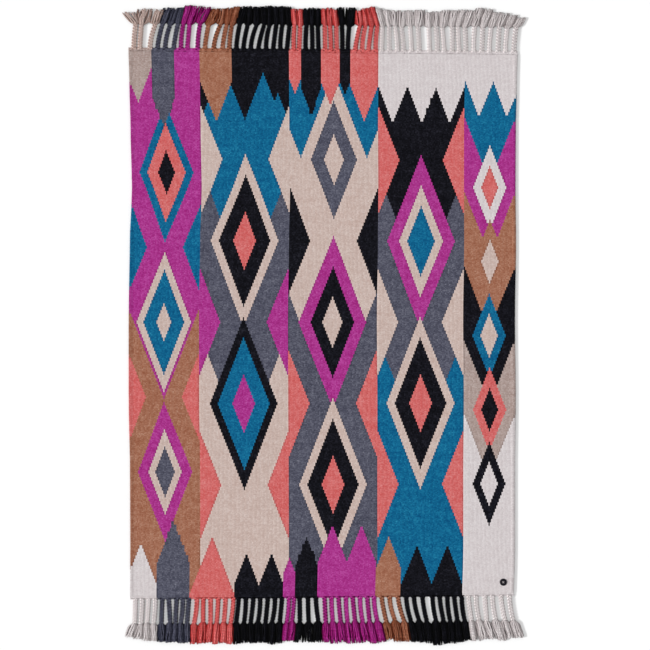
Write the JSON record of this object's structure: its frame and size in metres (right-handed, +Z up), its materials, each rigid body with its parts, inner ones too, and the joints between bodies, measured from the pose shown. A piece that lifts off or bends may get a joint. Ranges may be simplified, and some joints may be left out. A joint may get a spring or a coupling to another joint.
{
  "type": "woven rug",
  "caption": "Oblong flat-woven wool rug with wavering selvedges, a patterned ground, plaits with tassels along both ends and a small round tag on one corner.",
  "frame": {"origin": "on the floor, at the middle of the whole rug's bounding box, fringes included", "axes": "+Y along the rug to its far end, +X across it to the right, +Z up from the floor"},
  "size_m": [1.4715, 2.3223, 0.0084],
  "materials": {
    "field_wool": "matt flat-woven wool in several colours; this is their mean",
    "fringe_wool": "matt wool warps in the colours of the ground beside them; this is their mean",
    "tag_felt": "black felt"
  },
  "bodies": {
    "root": {"field": "field_wool", "fringe_top": "fringe_wool", "fringe_bottom": "fringe_wool", "round_tag": "tag_felt"}
  },
  "joints": []
}
